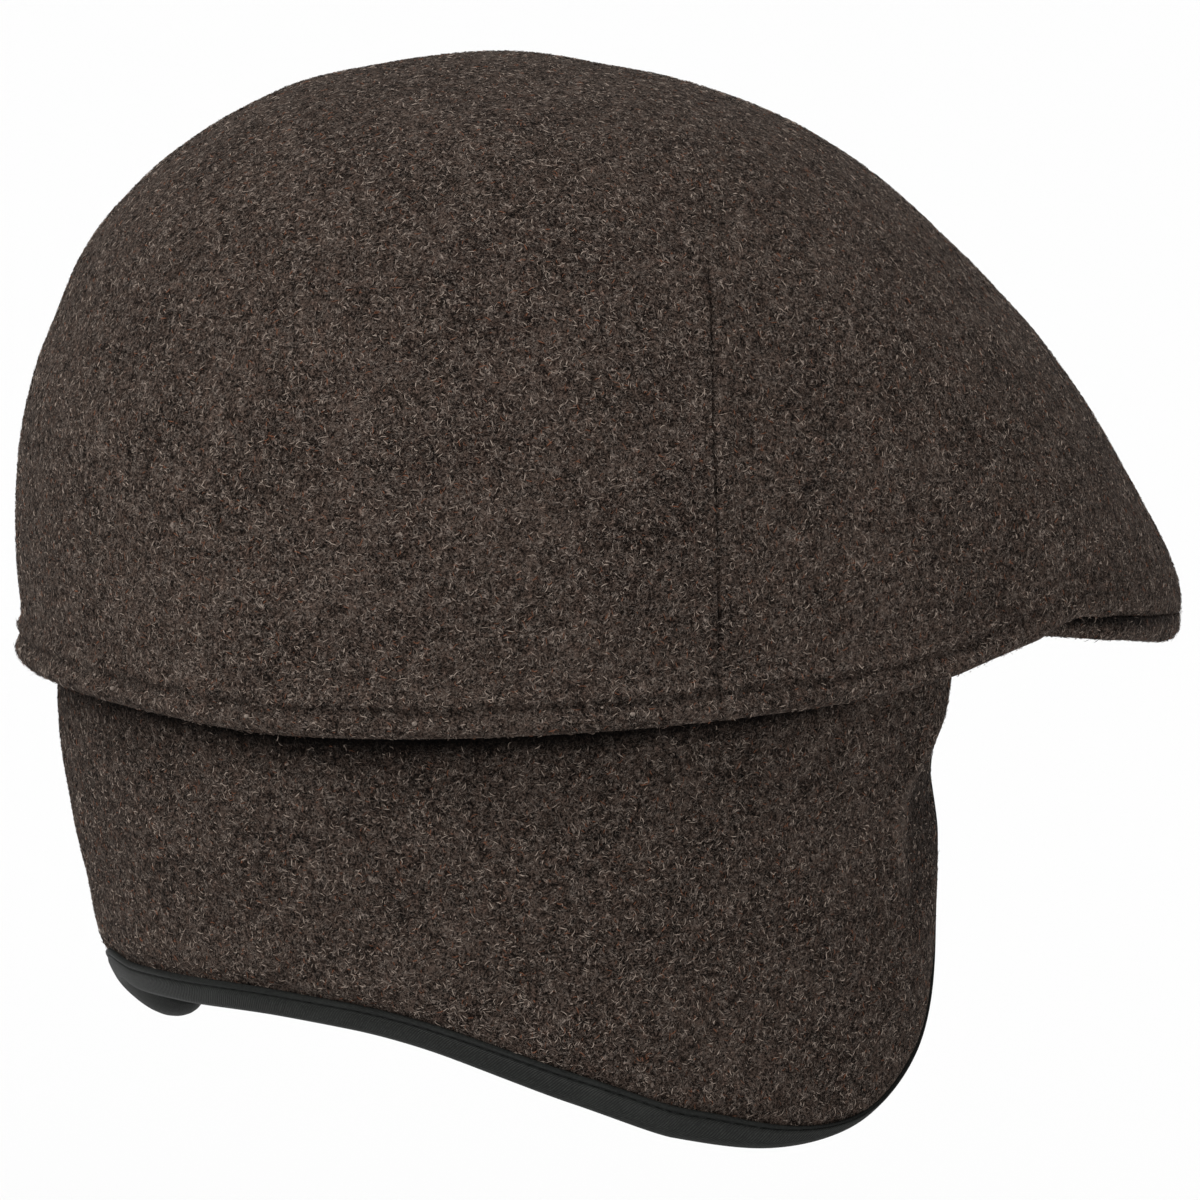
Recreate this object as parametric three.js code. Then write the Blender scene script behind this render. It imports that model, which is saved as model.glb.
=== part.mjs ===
// An earflap flat cap of thick wool felt, in millimetres.
// +X is forward, +Y is the wearer's left and +Z is up. The origin is the
// middle of the head opening, level with the hem at the nape.
import * as THREE from 'three';

// Felt, tape and the fit between pieces
const feltWall = 2.4;
const tapeWall = 0.7;
const clearance = 0.35;
const tapeClearance = 0.55;

// Head opening, measured to the outside of the felt that lines it
const openingBack = 91;
const openingFront = 115;
const openingSide = 85;

// Every outline is two half ovals that meet on this cross line
const crossLine = -12;

// Crown, and how far it stands out past the head opening
const crownHeight = 123;
const backOverhang = 8;
const peakReach = 36;
const sideOverhang = 9;
const hemWave = 7;
const hemLean = 1.6;
const hemDepth = 5.4;

// Peak. Angles here and below are in degrees.
const peakFrontThickness = 7.2;
const peakRootThickness = 5;
const peakTipTop = 1.8;
const peakSlope = 0.165;
const peakHalfAngle = 54;
const peakEdgeInset = 0.3;
const peakTuck = 4.2;

// Earflap
const flapHalfAngle = 137;
const earDepth = 91;
const flapTuck = 8;
const napeTaper = 11.5;
const earTaper = 3;
const frontCurl = 8.5;
const curlAngle = 27;
const frontRoll = 7;
const rollAngle = 14;
const farSag = 15;
const farSagAngle = 43;
const farSagHalfAngle = 36;

// Binding
const bindingWidth = 6.6;

// How finely each form is divided
const crownSlices = 72;
const peakSlices = 28;
const flapSlices = 80;
const flapRows = 10;

// The dome from just over the hem to just under the top: how high it is, as
// a share of the crown's height, and its back, front and side as shares of
// the crown's three reaches.
const domeRows = [
  { rise: 0.075, back: 0.992, front: 0.99, side: 0.992 },
  { rise: 0.14, back: 0.998, front: 0.966, side: 1.0 },
  { rise: 0.25, back: 1.0, front: 0.912, side: 0.999 },
  { rise: 0.36, back: 0.992, front: 0.855, side: 0.985 },
  { rise: 0.47, back: 0.969, front: 0.79, side: 0.957 },
  { rise: 0.57, back: 0.922, front: 0.718, side: 0.914 },
  { rise: 0.67, back: 0.866, front: 0.636, side: 0.848 },
  { rise: 0.76, back: 0.782, front: 0.552, side: 0.757 },
  { rise: 0.84, back: 0.672, front: 0.459, side: 0.648 },
  { rise: 0.9, back: 0.554, front: 0.365, side: 0.538 },
  { rise: 0.95, back: 0.41, front: 0.254, side: 0.39 },
  { rise: 0.98, back: 0.255, front: 0.142, side: 0.235 },
  { rise: 0.996, back: 0.11, front: 0.058, side: 0.1 },
];

// The hem's lower edge behind the peak: the turn from the front in degrees,
// and the height as a share of the hem's wave.
const hemRows = [
  { turn: 50, lift: 1.32 },
  { turn: 56, lift: 1.22 },
  { turn: 61, lift: 0.95 },
  { turn: 66, lift: 0.58 },
  { turn: 75, lift: 0.26 },
  { turn: 88, lift: 0.08 },
  { turn: 108, lift: -0.08 },
  { turn: 130, lift: -0.26 },
  { turn: 143, lift: -0.3 },
  { turn: 160, lift: -0.1 },
  { turn: 180, lift: 0 },
];

// The rolled hem from its stitched groove to its underside: the height over
// the lower edge as a share of the hem's depth, and how far inside the crown's
// outline it lies as a share of the felt's wall. Over the peak it has no groove
// and lies on the peak's top, closest at the tip.
const hemRollRows = [
  { height: 1.2, inset: 0.06, overPeak: 0.1, overTip: 0.32 },
  { height: 1.0, inset: 0.32, overPeak: 0.08, overTip: 0.22 },
  { height: 0.8, inset: 0.04, overPeak: 0.06, overTip: 0.12 },
  { height: 0.5, inset: -0.16, overPeak: 0.08, overTip: 0.03 },
  { height: 0.16, inset: 0.14, overPeak: 0.34, overTip: 0.12 },
  { height: 0.0, inset: 0.75, overPeak: 0.85, overTip: 0.36 },
];

// The earflap's free edge from the nape to the front of the ear: the turn
// from the nape as a share of the whole turn, and the depth under the hem's
// level as a share of the depth at the ear.
const flapEdgeRows = [
  { turn: 0, depth: 0.7 },
  { turn: 0.1, depth: 0.692 },
  { turn: 0.25, depth: 0.69 },
  { turn: 0.41, depth: 0.74 },
  { turn: 0.56, depth: 0.852 },
  { turn: 0.66, depth: 0.94 },
  { turn: 0.745, depth: 0.99 },
  { turn: 0.82, depth: 0.975 },
  { turn: 0.885, depth: 0.895 },
  { turn: 0.94, depth: 0.775 },
  { turn: 0.98, depth: 0.64 },
  { turn: 1.0, depth: 0.5 },
  { turn: 1.0, depth: 0.33 },
  { turn: 1.0, depth: 0.16 },
  { turn: 1.0, depth: 0.01 },
];

// How much of the front's slow curl and of its tight roll is in force at each
// depth, as shares of the depth at the ear, of the curl and of the roll.
const curlRows = [
  { depth: -0.1, curl: 0, roll: 1.2 },
  { depth: 0.03, curl: 0, roll: 1.5 },
  { depth: 0.15, curl: 0.05, roll: 1.8 },
  { depth: 0.22, curl: 0.6, roll: 1.5 },
  { depth: 0.3, curl: 1.3, roll: 0.8 },
  { depth: 0.45, curl: 1.48, roll: 0.1 },
  { depth: 0.75, curl: 1.34, roll: 0.3 },
  { depth: 1.0, curl: 1.0, roll: 0.5 },
];

// The peak's rounded lip from its underside to its top: how far it lies inside
// the peak's edge, and its height, as shares of the lip's thickness.
const lipRows = [
  { inset: 0.5, height: 0 },
  { inset: 0.14, height: 0.15 },
  { inset: 0, height: 0.5 },
  { inset: 0.02, height: 0.88 },
  { inset: 0.2, height: 1 },
];

// Where one form gives way to the next beside the peak's ends, as angles from
// the peak's own end.
const besidePeak = {
  hem: { from: -7, to: 2 },
  groove: { from: -2, to: 8 },
  crease: { from: -36, to: -16 },
  ledge: { from: 1, to: 12 },
  tuck: { from: -13, to: -4 },
};

// Where the earflap turns from the nape's form to the ear's, from the nape.
const earFromAngle = 45;
const earToAngle = 95;

// How fast the earflap tapers inwards as it hangs
const taperPower = 2.2;

// How far the columns at the nape spread at their top, as a share of the turn
const columnSpread = 0.15;

// The turned-in felt: its height in the hem, as a share of the hem's depth,
// its outer end's place, as a share of the felt's wall, and where its inner
// face starts, as a share of the way to the head opening.
const ledgeLevel = 0.25;
const ledgeFold = 1.25;
const ledgeStart = 0.06;

// Where the pieces that reach across the crown's foot have their middle points
const midway = 0.5;

// The tape's fold under the felt's edge, as shares of the fold's width
const tapeFoldRound = 0.4;
const tapeFoldFlat = 0.25;

// Small steps that give directions on the earflap: an angle, a length and a
// share of the edge.
const angleStep = 0.5;
const dropStep = 0.5;
const edgeStep = 0.003;

const degree = Math.PI / 180;
const upward = new THREE.Vector3(0, 0, 1);

// A smooth value from a table's column, read at a place in its first column.
function readTable(rows, keyName, valueName, key) {
  const last = rows.length - 1;
  if (key <= rows[0][keyName]) return rows[0][valueName];
  if (key >= rows[last][keyName]) return rows[last][valueName];
  let at = 0;
  while (rows[at + 1][keyName] < key) at += 1;
  const slope = (row) => {
    const before = rows[Math.max(row - 1, 0)];
    const after = rows[Math.min(row + 1, last)];
    return (after[valueName] - before[valueName]) / (after[keyName] - before[keyName]);
  };
  const span = rows[at + 1][keyName] - rows[at][keyName];
  const share = (key - rows[at][keyName]) / span;
  const square = share * share;
  const cube = square * share;
  return (2 * cube - 3 * square + 1) * rows[at][valueName]
    + (cube - 2 * square + share) * span * slope(at)
    + (3 * square - 2 * cube) * rows[at + 1][valueName]
    + (cube - square) * span * slope(at + 1);
}

// A point of an outline at a turn from the front, in radians.
function onOval(turn, oval, height) {
  const reach = Math.cos(turn) >= 0 ? oval.front : oval.back;
  return new THREE.Vector3(
    crossLine + reach * Math.cos(turn),
    oval.side * Math.sin(turn),
    height,
  );
}

function insetOval(oval, inset) {
  return { back: oval.back - inset, front: oval.front - inset, side: oval.side - inset };
}

const openingOval = { back: openingBack, front: openingFront, side: openingSide };
const crownOval = {
  back: openingBack + backOverhang,
  front: openingFront + peakReach,
  side: openingSide + sideOverhang,
};
const tipX = crossLine + crownOval.front;

// The turn from the front, from 0 to 180 degrees on either side.
function turnFromFront(turn) {
  return Math.acos(Math.cos(turn)) / degree;
}

// From 0 to 1 as the turn passes one of the stretches beside the peak's ends.
function pastPeak(turn, { from, to }) {
  return THREE.MathUtils.smoothstep(
    turnFromFront(turn), peakHalfAngle + from, peakHalfAngle + to);
}

function peakTop(x) {
  return peakTipTop + (tipX - x) * peakSlope;
}

function peakBottom(x) {
  const toRoot = (tipX - x) / peakReach;
  const thickness = THREE.MathUtils.lerp(peakFrontThickness, peakRootThickness, toRoot);
  return peakTop(x) - Math.max(thickness, peakRootThickness);
}

// The height of the hem's lower edge, which lies on the peak or hangs free.
function hemLine(turn) {
  const lean = hemLean * Math.sin(turn);
  const free = hemWave * readTable(hemRows, 'turn', 'lift', turnFromFront(turn));
  const onPeak = peakTop(onOval(turn, crownOval, 0).x) + clearance;
  return THREE.MathUtils.lerp(onPeak, free + lean, pastPeak(turn, besidePeak.hem));
}

// The felt turned in under the crown: over the peak it lies on the peak.
function ledgeLine(turn, x) {
  const free = hemLine(turn) + ledgeLevel * hemDepth;
  const onPeak = Math.max(peakTop(x) + clearance, free);
  return THREE.MathUtils.lerp(onPeak, free, pastPeak(turn, besidePeak.ledge));
}

// A closed mesh from a grid of points whose first index runs round the part
// and whose second runs from one pole to the other.
function meshFromRings(rings, startPole, endPole) {
  const count = rings[0].length;
  const points = [startPole, ...rings.flat(), endPole];
  const faces = [];
  const at = (ring, slice) => 1 + ring * count + (slice % count);
  for (let slice = 0; slice < count; slice += 1) {
    faces.push([0, at(0, slice), at(0, slice + 1)]);
    for (let ring = 0; ring < rings.length - 1; ring += 1) {
      const near = at(ring, slice);
      const nearNext = at(ring, slice + 1);
      const far = at(ring + 1, slice);
      const farNext = at(ring + 1, slice + 1);
      faces.push([near, far, farNext], [near, farNext, nearNext]);
    }
    const last = rings.length - 1;
    faces.push([at(last, slice), points.length - 1, at(last, slice + 1)]);
  }
  return geometryFrom(points, faces);
}

// The triangles that fill a closed section, as triples of its points.
function facesAcross(section) {
  const normal = section.reduce((sum, point, at) => {
    const next = section[(at + 1) % section.length];
    return sum.add(new THREE.Vector3().crossVectors(point, next));
  }, new THREE.Vector3()).normalize();
  const across = new THREE.Vector3().subVectors(section[1], section[0]).normalize();
  const up = new THREE.Vector3().crossVectors(normal, across);
  const outline = section.map((point) => new THREE.Vector2(point.dot(across), point.dot(up)));
  return THREE.ShapeUtils.triangulateShape(outline, []);
}

// A closed mesh from closed sections along a path, whose first and last
// section are alike.
function meshFromSections(sections) {
  const size = sections[0].length;
  const points = sections.flat();
  const last = points.length - size;
  const faces = [];
  for (let at = 0; at < sections.length - 1; at += 1) {
    for (let side = 0; side < size; side += 1) {
      const next = (side + 1) % size;
      const here = at * size;
      const ahead = here + size;
      faces.push([here + side, ahead + next, here + next]);
      faces.push([here + side, ahead + side, ahead + next]);
    }
  }
  for (const [first, second, third] of facesAcross(sections[0])) {
    faces.push([first, second, third]);
    faces.push([last + first, last + third, last + second]);
  }
  return geometryFrom(points, faces);
}

function geometryFrom(points, faces) {
  const geometry = new THREE.BufferGeometry();
  geometry.setAttribute('position', new THREE.Float32BufferAttribute(
    points.flatMap((point) => point.toArray()), 3));
  geometry.setIndex(faces.flat());
  geometry.computeVertexNormals();
  return geometry;
}

// The same rings, moved into the felt by its wall along each point's normal.
function innerFace(rings, wall) {
  const count = rings[0].length;
  return rings.map((ring, row) => ring.map((point, slice) => {
    const above = rings[Math.max(row - 1, 0)][slice];
    const below = rings[Math.min(row + 1, rings.length - 1)][slice];
    const before = ring[(slice + count - 1) % count];
    const after = ring[(slice + 1) % count];
    const down = new THREE.Vector3().subVectors(below, above);
    const along = new THREE.Vector3().subVectors(after, before);
    const outward = new THREE.Vector3().crossVectors(down, along).normalize();
    return point.clone().addScaledVector(outward, -wall);
  }));
}

function ringAt(placeAt) {
  return Array.from({ length: crownSlices }, (_, slice) => (
    placeAt(2 * Math.PI * slice / crownSlices)));
}

function domeRing(row) {
  const oval = {
    back: row.back * crownOval.back,
    front: row.front * crownOval.front,
    side: row.side * crownOval.side,
  };
  const settle = (1 - row.rise) ** 3;
  return ringAt((turn) => (
    onOval(turn, oval, row.rise * crownHeight + hemLine(turn) * settle)));
}

function hemRing(row) {
  return ringAt((turn) => {
    const creased = pastPeak(turn, besidePeak.crease);
    const grooved = pastPeak(turn, besidePeak.groove);
    const onPeak = THREE.MathUtils.lerp(row.overTip, row.overPeak, creased);
    const inset = THREE.MathUtils.lerp(onPeak, row.inset, grooved) * feltWall;
    return onOval(turn, insetOval(crownOval, inset), hemLine(turn) + row.height * hemDepth);
  });
}

// A ring of the turned-in felt, from the hem at 0 to the head opening at 1.
function ledgeRing(share, lift) {
  const outer = insetOval(crownOval, ledgeFold * feltWall);
  const inner = insetOval(openingOval, -clearance);
  return ringAt((turn) => {
    const place = onOval(turn, outer, 0).lerp(onOval(turn, inner, 0), share);
    place.z = ledgeLine(turn, place.x) + lift;
    return place;
  });
}

function makeCrown() {
  const dome = [...domeRows].reverse().map(domeRing);
  const roll = hemRollRows.map(hemRing);
  const ledge = [0, midway, 1].map((share) => ledgeRing(share, 0));
  const ledgeBack = [1, midway, ledgeStart].map((share) => ledgeRing(share, feltWall));
  const inside = innerFace(dome, feltWall).slice(0, -1).reverse();
  const top = new THREE.Vector3(crossLine, 0, crownHeight);
  const underTop = new THREE.Vector3(crossLine, 0, crownHeight - feltWall);
  return meshFromRings([...dome, ...roll, ...ledge, ...ledgeBack, ...inside], top, underTop);
}

// How far the peak's edge is tucked behind the hem at its ends.
function peakOutline(turn) {
  const tuck = pastPeak(turn, besidePeak.tuck);
  return insetOval(crownOval, THREE.MathUtils.lerp(peakEdgeInset, peakTuck, tuck));
}

function makePeak() {
  const rear = insetOval(openingOval, -2 * clearance);
  const sections = [];
  for (let slice = 0; slice <= peakSlices; slice += 1) {
    const turn = THREE.MathUtils.lerp(-peakHalfAngle, peakHalfAngle, slice / peakSlices) * degree;
    const front = onOval(turn, peakOutline(turn), 0);
    const root = onOval(turn, rear, 0);
    const depth = front.distanceTo(root);
    const lip = peakTop(front.x) - peakBottom(front.x);
    const place = (share, height) => {
      const point = root.clone().lerp(front, share);
      point.z = THREE.MathUtils.lerp(peakBottom(point.x), peakTop(point.x), height);
      return point;
    };
    const edge = lipRows.map((row) => place(1 - row.inset * lip / depth, row.height));
    sections.push([place(0, 1), place(0, 0), place(midway, 0), ...edge, place(midway, 1)]);
  }
  return meshFromSections(sections);
}

// The earflap's outer face at a turn from the nape, positive on the wearer's
// left, in degrees, and a depth under the hem.
function onFlap(turn, depth) {
  const away = Math.abs(turn);
  const fromFront = (180 - turn) * degree;
  const place = onOval(fromFront, openingOval, 0);
  const behind = onOval(fromFront + angleStep * degree, openingOval, 0);
  const ahead = onOval(fromFront - angleStep * degree, openingOval, 0);
  const outward = new THREE.Vector3().crossVectors(upward, ahead.sub(behind)).normalize();
  const toEar = THREE.MathUtils.smoothstep(away, earFromAngle, earToAngle);
  const taper = THREE.MathUtils.lerp(napeTaper, earTaper, toEar);
  const reach = THREE.MathUtils.lerp(flapEdgeRows[0].depth, 1, toEar) * earDepth;
  const hang = Math.max(depth, 0) / reach;
  const inForce = (column) => readTable(curlRows, 'depth', column, depth / earDepth);
  const past = (span) => Math.max(away - (flapHalfAngle - span), 0) / span;
  const curl = frontCurl * inForce('curl') * past(curlAngle) ** 2
    + frontRoll * inForce('roll') * past(rollAngle) ** 2;
  place.addScaledVector(outward, -taper * hang ** taperPower - curl);
  place.z = hemLine(fromFront) * Math.max(1 - hang, 0) - depth;
  return place;
}

// The felt's outward direction there, and how long a degree of turn is.
function flapLay(turn, depth) {
  const along = onFlap(turn + angleStep, depth).sub(onFlap(turn - angleStep, depth));
  const drop = onFlap(turn, depth + dropStep).sub(onFlap(turn, depth - dropStep));
  const perDegree = along.length() / (2 * angleStep);
  return { outward: along.cross(drop).normalize(), perDegree };
}

// A point in the felt or its tape, so far out from the felt's outer face.
function overFlap({ turn, depth }, out) {
  return onFlap(turn, depth).addScaledVector(flapLay(turn, depth).outward, out);
}

// The free edge as a curve of lengths: round the head, and down.
const flapArc = (openingSide + openingBack) / 2 * degree;
const flapEdge = new THREE.SplineCurve(flapEdgeRows.map((row) => (
  new THREE.Vector2(row.turn * flapHalfAngle * flapArc, row.depth * earDepth))));

// The free edge at a share of its length from the nape to the ear's front.
function edgeAt(share) {
  const point = flapEdge.getPointAt(Math.min(Math.abs(share), 1));
  const turn = point.x / flapArc;
  const far = THREE.MathUtils.clamp((turn - farSagAngle) / farSagHalfAngle, -1, 1);
  const sag = share > 0 ? farSag * Math.cos(far * Math.PI / 2) ** 2 : 0;
  return { turn: turn * Math.sign(share), depth: point.y + sag };
}

// A place on a column of the earflap, from its tucked top to its free edge.
function flapPlace(share, down) {
  const along = Math.abs(share);
  const spread = columnSpread * (along - along ** 4);
  const topTurn = flapHalfAngle * (along + spread) * Math.sign(share);
  const edge = edgeAt(share);
  return {
    turn: THREE.MathUtils.lerp(topTurn, edge.turn, down),
    depth: THREE.MathUtils.lerp(-flapTuck, edge.depth, down),
  };
}

function flapShares() {
  return Array.from({ length: flapSlices + 1 }, (_, slice) => (
    THREE.MathUtils.lerp(-1, 1, slice / flapSlices)));
}

function makeEarflap() {
  const sections = flapShares().map((share) => {
    const outer = [];
    const inner = [];
    for (let row = 0; row <= flapRows; row += 1) {
      const place = flapPlace(share, row / flapRows);
      outer.push(overFlap(place, 0));
      inner.push(overFlap(place, -feltWall));
    }
    return [...outer, ...inner.reverse()];
  });
  return meshFromSections(sections);
}

// The tape's U section, folded over the felt's edge. Out is from the felt's
// outer face, and up is from the felt's edge into it.
function tapeSection() {
  const near = tapeClearance;
  const far = -feltWall - tapeClearance;
  const bottom = -tapeClearance - tapeWall;
  const round = bottom + tapeFoldRound * (near - far);
  const top = bindingWidth + bottom;
  const flat = tapeFoldFlat * (near - far);
  return [
    [near + tapeWall, top],
    [near + tapeWall, top / 2],
    [near + tapeWall, round],
    [near - flat + tapeWall, bottom],
    [far + flat - tapeWall, bottom],
    [far - tapeWall, round],
    [far - tapeWall, top / 2],
    [far - tapeWall, top],
    [far, top],
    [far, top / 2],
    [far, -tapeClearance],
    [near, -tapeClearance],
    [near, top / 2],
    [near, top],
  ];
}

function makeBinding() {
  const section = tapeSection();
  const sections = flapShares().map((share) => {
    const edge = edgeAt(share);
    const before = edgeAt(Math.max(share - edgeStep, -1));
    const after = edgeAt(Math.min(share + edgeStep, 1));
    const { perDegree } = flapLay(edge.turn, edge.depth);
    const along = new THREE.Vector2(
      (after.turn - before.turn) * perDegree, after.depth - before.depth).normalize();
    return section.map(([out, up]) => overFlap({
      turn: edge.turn + up * along.y / perDegree,
      depth: edge.depth - up * along.x,
    }, out));
  });
  return meshFromSections(sections);
}

function makePiece(name, geometry, color, roughness) {
  const material = new THREE.MeshStandardMaterial({ color, roughness, metalness: 0 });
  const mesh = new THREE.Mesh(geometry, material);
  mesh.name = name;
  return mesh;
}

const cap = new THREE.Group();
cap.add(makePiece('crown', makeCrown(), 0x40382f, 1));
cap.add(makePiece('peak', makePeak(), 0x3c342d, 1));
cap.add(makePiece('earflap', makeEarflap(), 0x3a322c, 1));
cap.add(makePiece('binding', makeBinding(), 0x1f2220, 0.75));

export default cap;
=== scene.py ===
"""The looks of a thick felt earflap cap: its felt, tape, seams, threads and nap."""

import math

import bpy
import numpy as np
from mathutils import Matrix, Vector, noise


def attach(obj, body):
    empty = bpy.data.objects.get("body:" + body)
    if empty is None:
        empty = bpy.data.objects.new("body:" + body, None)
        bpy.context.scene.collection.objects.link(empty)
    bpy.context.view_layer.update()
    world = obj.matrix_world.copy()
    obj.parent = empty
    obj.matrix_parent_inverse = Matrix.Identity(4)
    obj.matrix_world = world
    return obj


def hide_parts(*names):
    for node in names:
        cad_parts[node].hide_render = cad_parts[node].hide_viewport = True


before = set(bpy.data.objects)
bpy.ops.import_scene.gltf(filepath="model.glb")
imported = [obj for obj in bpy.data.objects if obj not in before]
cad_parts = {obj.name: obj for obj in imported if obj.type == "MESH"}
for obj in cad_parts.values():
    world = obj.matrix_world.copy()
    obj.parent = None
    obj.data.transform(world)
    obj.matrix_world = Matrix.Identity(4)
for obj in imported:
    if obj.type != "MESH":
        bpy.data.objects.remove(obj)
bpy.ops.object.select_all(action="DESELECT")
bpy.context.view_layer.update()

# Lengths are worked out in millimetres and angles in degrees, unless a comment says more
METRE = 0.001

# Felt, tape and the fit between pieces
FELT_WALL = 2.4
TAPE_WALL = 0.7
CLEARANCE = 0.35
TAPE_CLEARANCE = 0.35
PEAK_CLEARANCE = 0.15

# Outlines are two half ovals that meet on the cross line: back, front, side
CROSS_LINE = -12.0
OPENING = (91.0, 115.0, 85.0)
CROWN = (99.0, 151.0, 94.0)
CROWN_HEIGHT = 123.0

HEM_WAVE = 7.0
HEM_LEAN = 1.6
HEM_DEPTH = 5.4
LEDGE_LEVEL = 0.25
LEDGE_FOLD = 1.25

PEAK_FRONT_THICKNESS = 7.2
PEAK_ROOT_THICKNESS = 5.0
PEAK_TIP_TOP = 1.8
PEAK_SLOPE = 0.165
PEAK_HALF_ANGLE = 54.0
PEAK_EDGE_INSET = 0.3
PEAK_TUCK = 4.2

FLAP_HALF_ANGLE = 137.0
EAR_DEPTH = 91.0
FLAP_TUCK = 8.0
NAPE_TAPER = 11.5
EAR_TAPER = 3.0
TAPER_POWER = 2.2
EAR_FROM, EAR_TO = 45.0, 95.0
FRONT_CURL, CURL_ANGLE = 8.5, 27.0
FRONT_ROLL, ROLL_ANGLE = 7.0, 14.0
FAR_SAG, FAR_SAG_ANGLE, FAR_SAG_HALF_ANGLE = 15.0, 43.0, 36.0
COLUMN_SPREAD = 0.15
BINDING_WIDTH = 6.6

# The dart seam at each side, its topstitch rows and the hem's tacking knots
SEAM_TURN = 88.1
SEAM_WARP = 42.0
SEAM_DEPTH, SEAM_HALF_WIDTH = 0.8, 0.3
SEAM_SWELL = 0.2
# Painted shade in the dart seam's groove and in the hem's groove, and a painted highlight along
# the hem's roll
SEAM_SHADE, SEAM_SHADE_WIDTH = 0.5, 0.35
GROOVE_SHADE, GROOVE_SHADE_WIDTH = 0.3, 0.22
ROLL_HIGHLIGHT = 0.16
ROLL_MIDDLE, ROLL_HIGHLIGHT_WIDTH = 0.4, 0.3
SWELL_OFFSET, SWELL_WIDTH = 2.6, 2.0
ROW_OFFSET = 5.6
ROW_DEPTH, ROW_HALF_WIDTH = 0.12, 0.5
STITCH_PITCH = 3.1
STITCH_START, STITCH_END_GAP, STITCH_SINK = 0.42, 1.5, 0.02
TOPSTITCH_LENGTH, TOPSTITCH_THICKNESS = 2.3, 0.26
KNOT_TURNS = (98.0, 123.2, 143.9, 165.0)
BOTH_KNOT_TURNS = (*KNOT_TURNS, *(-turn for turn in KNOT_TURNS))
KNOT_RISE = 0.62
KNOT_SIZE = 0.52
KNOT_SINK = 0.28
KNOT_DIMPLE, KNOT_DIMPLE_WIDTH = 0.5, 1.7
THREAD_END_TURN, THREAD_END_RISE, THREAD_END_SHARE = 3.6, 0.95, 0.55

# Down the dome, as shares of it: where the dart seam starts, and where it gets deep
SEAM_STARTS, SEAM_DEEPENS = (0.12, 0.2), (0.44, 0.6)
SEAM_FAINT = 0.2

# Turns past the peak's corner over which the hem's forms and the peak's tuck change
CREASED, GROOVED, TUCKED = (-36, -16), (-2, 8), (-13, -4)

# The soft fold beside the earflap's front edge, and how long a degree of turn is there
FOLD_HEIGHT, FOLD_WIDTH, FOLD_HOLLOW = 1.3, 3.0, 0.35
# Painted shade ahead of the fold's ridge, and a painted highlight along the ridge
FOLD_SHADE, FOLD_HIGHLIGHT, FOLD_HIGHLIGHT_WIDTH = 0.4, 0.26, 1.4
DEGREE = 1.5

# The felt swells a little above the tape, at heights over the edge, and then dies away
TAPE_PUFF = 1.0
PUFF_START, PUFF_FULL = 6.0, 8.2
PUFF_LEVEL, PUFF_END = 10.0, 24.0

# The tape's outer leaf is narrower where the front lobe rolls inwards, at shares of the edge
NARROW_FROM, NARROW_TO, NARROWEST = 0.52, 0.66, 0.18
WIDE_FROM, WIDE_TO = 0.79, 0.87

# The tape's outer leaf down from its free edge, and how far each place stands out
TAPE_SEAM = 1.2
TAPE_LEAF_ROWS = (
    (0.05, -0.3),
    (0.3, 0.02),
    (0.6, 0.1),
    (0.95, 0.0),
    (TAPE_SEAM, -0.42),
    (1.5, 0.02),
    (2.2, 0.2),
    (3.4, 0.14),
    (4.6, 0.0),
)
TAPE_FOLD_ANGLES = (-18, -36, -54, -72)
TAPE_STITCH_PITCH, TAPE_STITCH_SINK = 2.6, 0.3
TAPE_STITCH_LENGTH, TAPE_STITCH_THICKNESS = 2.2, 0.34

# Painted shade on the earflap, dark under the hem and slight further down, and how far down it
# fades
HEM_SHADE, HEM_SHADE_REACH = 0.97, 5.4
SIDE_SHADE_REACH, SIDE_TURN, SIDE_WIDTH = 1.8, 55, 28
FLAP_SHADE = 0.07

# The painted shadow in the crease between the crown and the peak: how dark and deep, and where it
# starts
PEAK_SHADE, PEAK_SHADE_REACH = 0.9, 3.4
PEAK_SHADE_TURNS = (18, 43)

# Soft uneven waves in the felt: their height, length and seed
DOME_WAVES = ((0.42, 34, 1), (0.12, 11, 2))
HEM_WAVES = ((0.2, 9, 3), (0.14, 26, 4))
FLAP_WAVES = ((0.5, 42, 5), (0.14, 12, 6))

# The meshes: columns, rows, and how much closer columns are beside the dart seams
CROWN_COLUMNS, CROWN_ROWS = 352, (92, 30, 5)
PEAK_COLUMNS, PEAK_ROWS = 150, (8, 26, 8)
FLAP_COLUMNS, FLAP_ROWS = 281, 58
TAPE_COLUMNS = 421
SEAM_DENSITY, SEAM_DENSITY_WIDTH = 5.5, 1.7
TOP_HOLE, TOP_HOLE_REACH = 0.7, 1.2
WELD = 0.01
SMOOTH_ANGLE = 48.0

# Nap: how much of it is pale, grey, rusty and dark, how many fibres, and their size
NAP_SHARES = (0.28, 0.32, 0.08, 0.32)
CROWN_NAP, PEAK_NAP, FLAP_NAP = 49500, 14000, 49000
NAP_LENGTH, NAP_LENGTH_SPREAD, NAP_LONGEST = 1.25, 0.38, 1.5
NAP_WIDTH, NAP_WIDTH_SPREAD = 0.12, 0.25
NAP_BEND, NAP_ROLL = 1.3, 0.5
NAP_ROOT, NAP_STAND, NAP_LIFT = 0.02, 0.06, 0.06

# Felt, in metres: its patches, clumps, flecks and rusty places, and its curly fibres as
# their spacing, their width on the noise and how far each kind is moved aside
PATCH, CLUMP, FLECK, RUSTY = 0.016, 0.0026, 0.0005, 0.0022
PALE_CURLS = ((0.0009, 0.03, 0.31), (0.0013, 0.022, 0.63), (0.002, 0.016, 1.37))
DARK_CURLS = ((0.0009, 0.035, 0.87), (0.0015, 0.022, 2.1))
FELT_BUMP, TWILL_BUMP, THREAD_BUMP = 0.00026, 0.00014, 0.00006

# The tape's weave on its uv: how often it repeats, its slant and how fine it is
TWILL_SCALE, TWILL_SLANT, TWILL_FINE = (760.0, 36.0, 1.0), 0.9, 1.25

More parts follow.
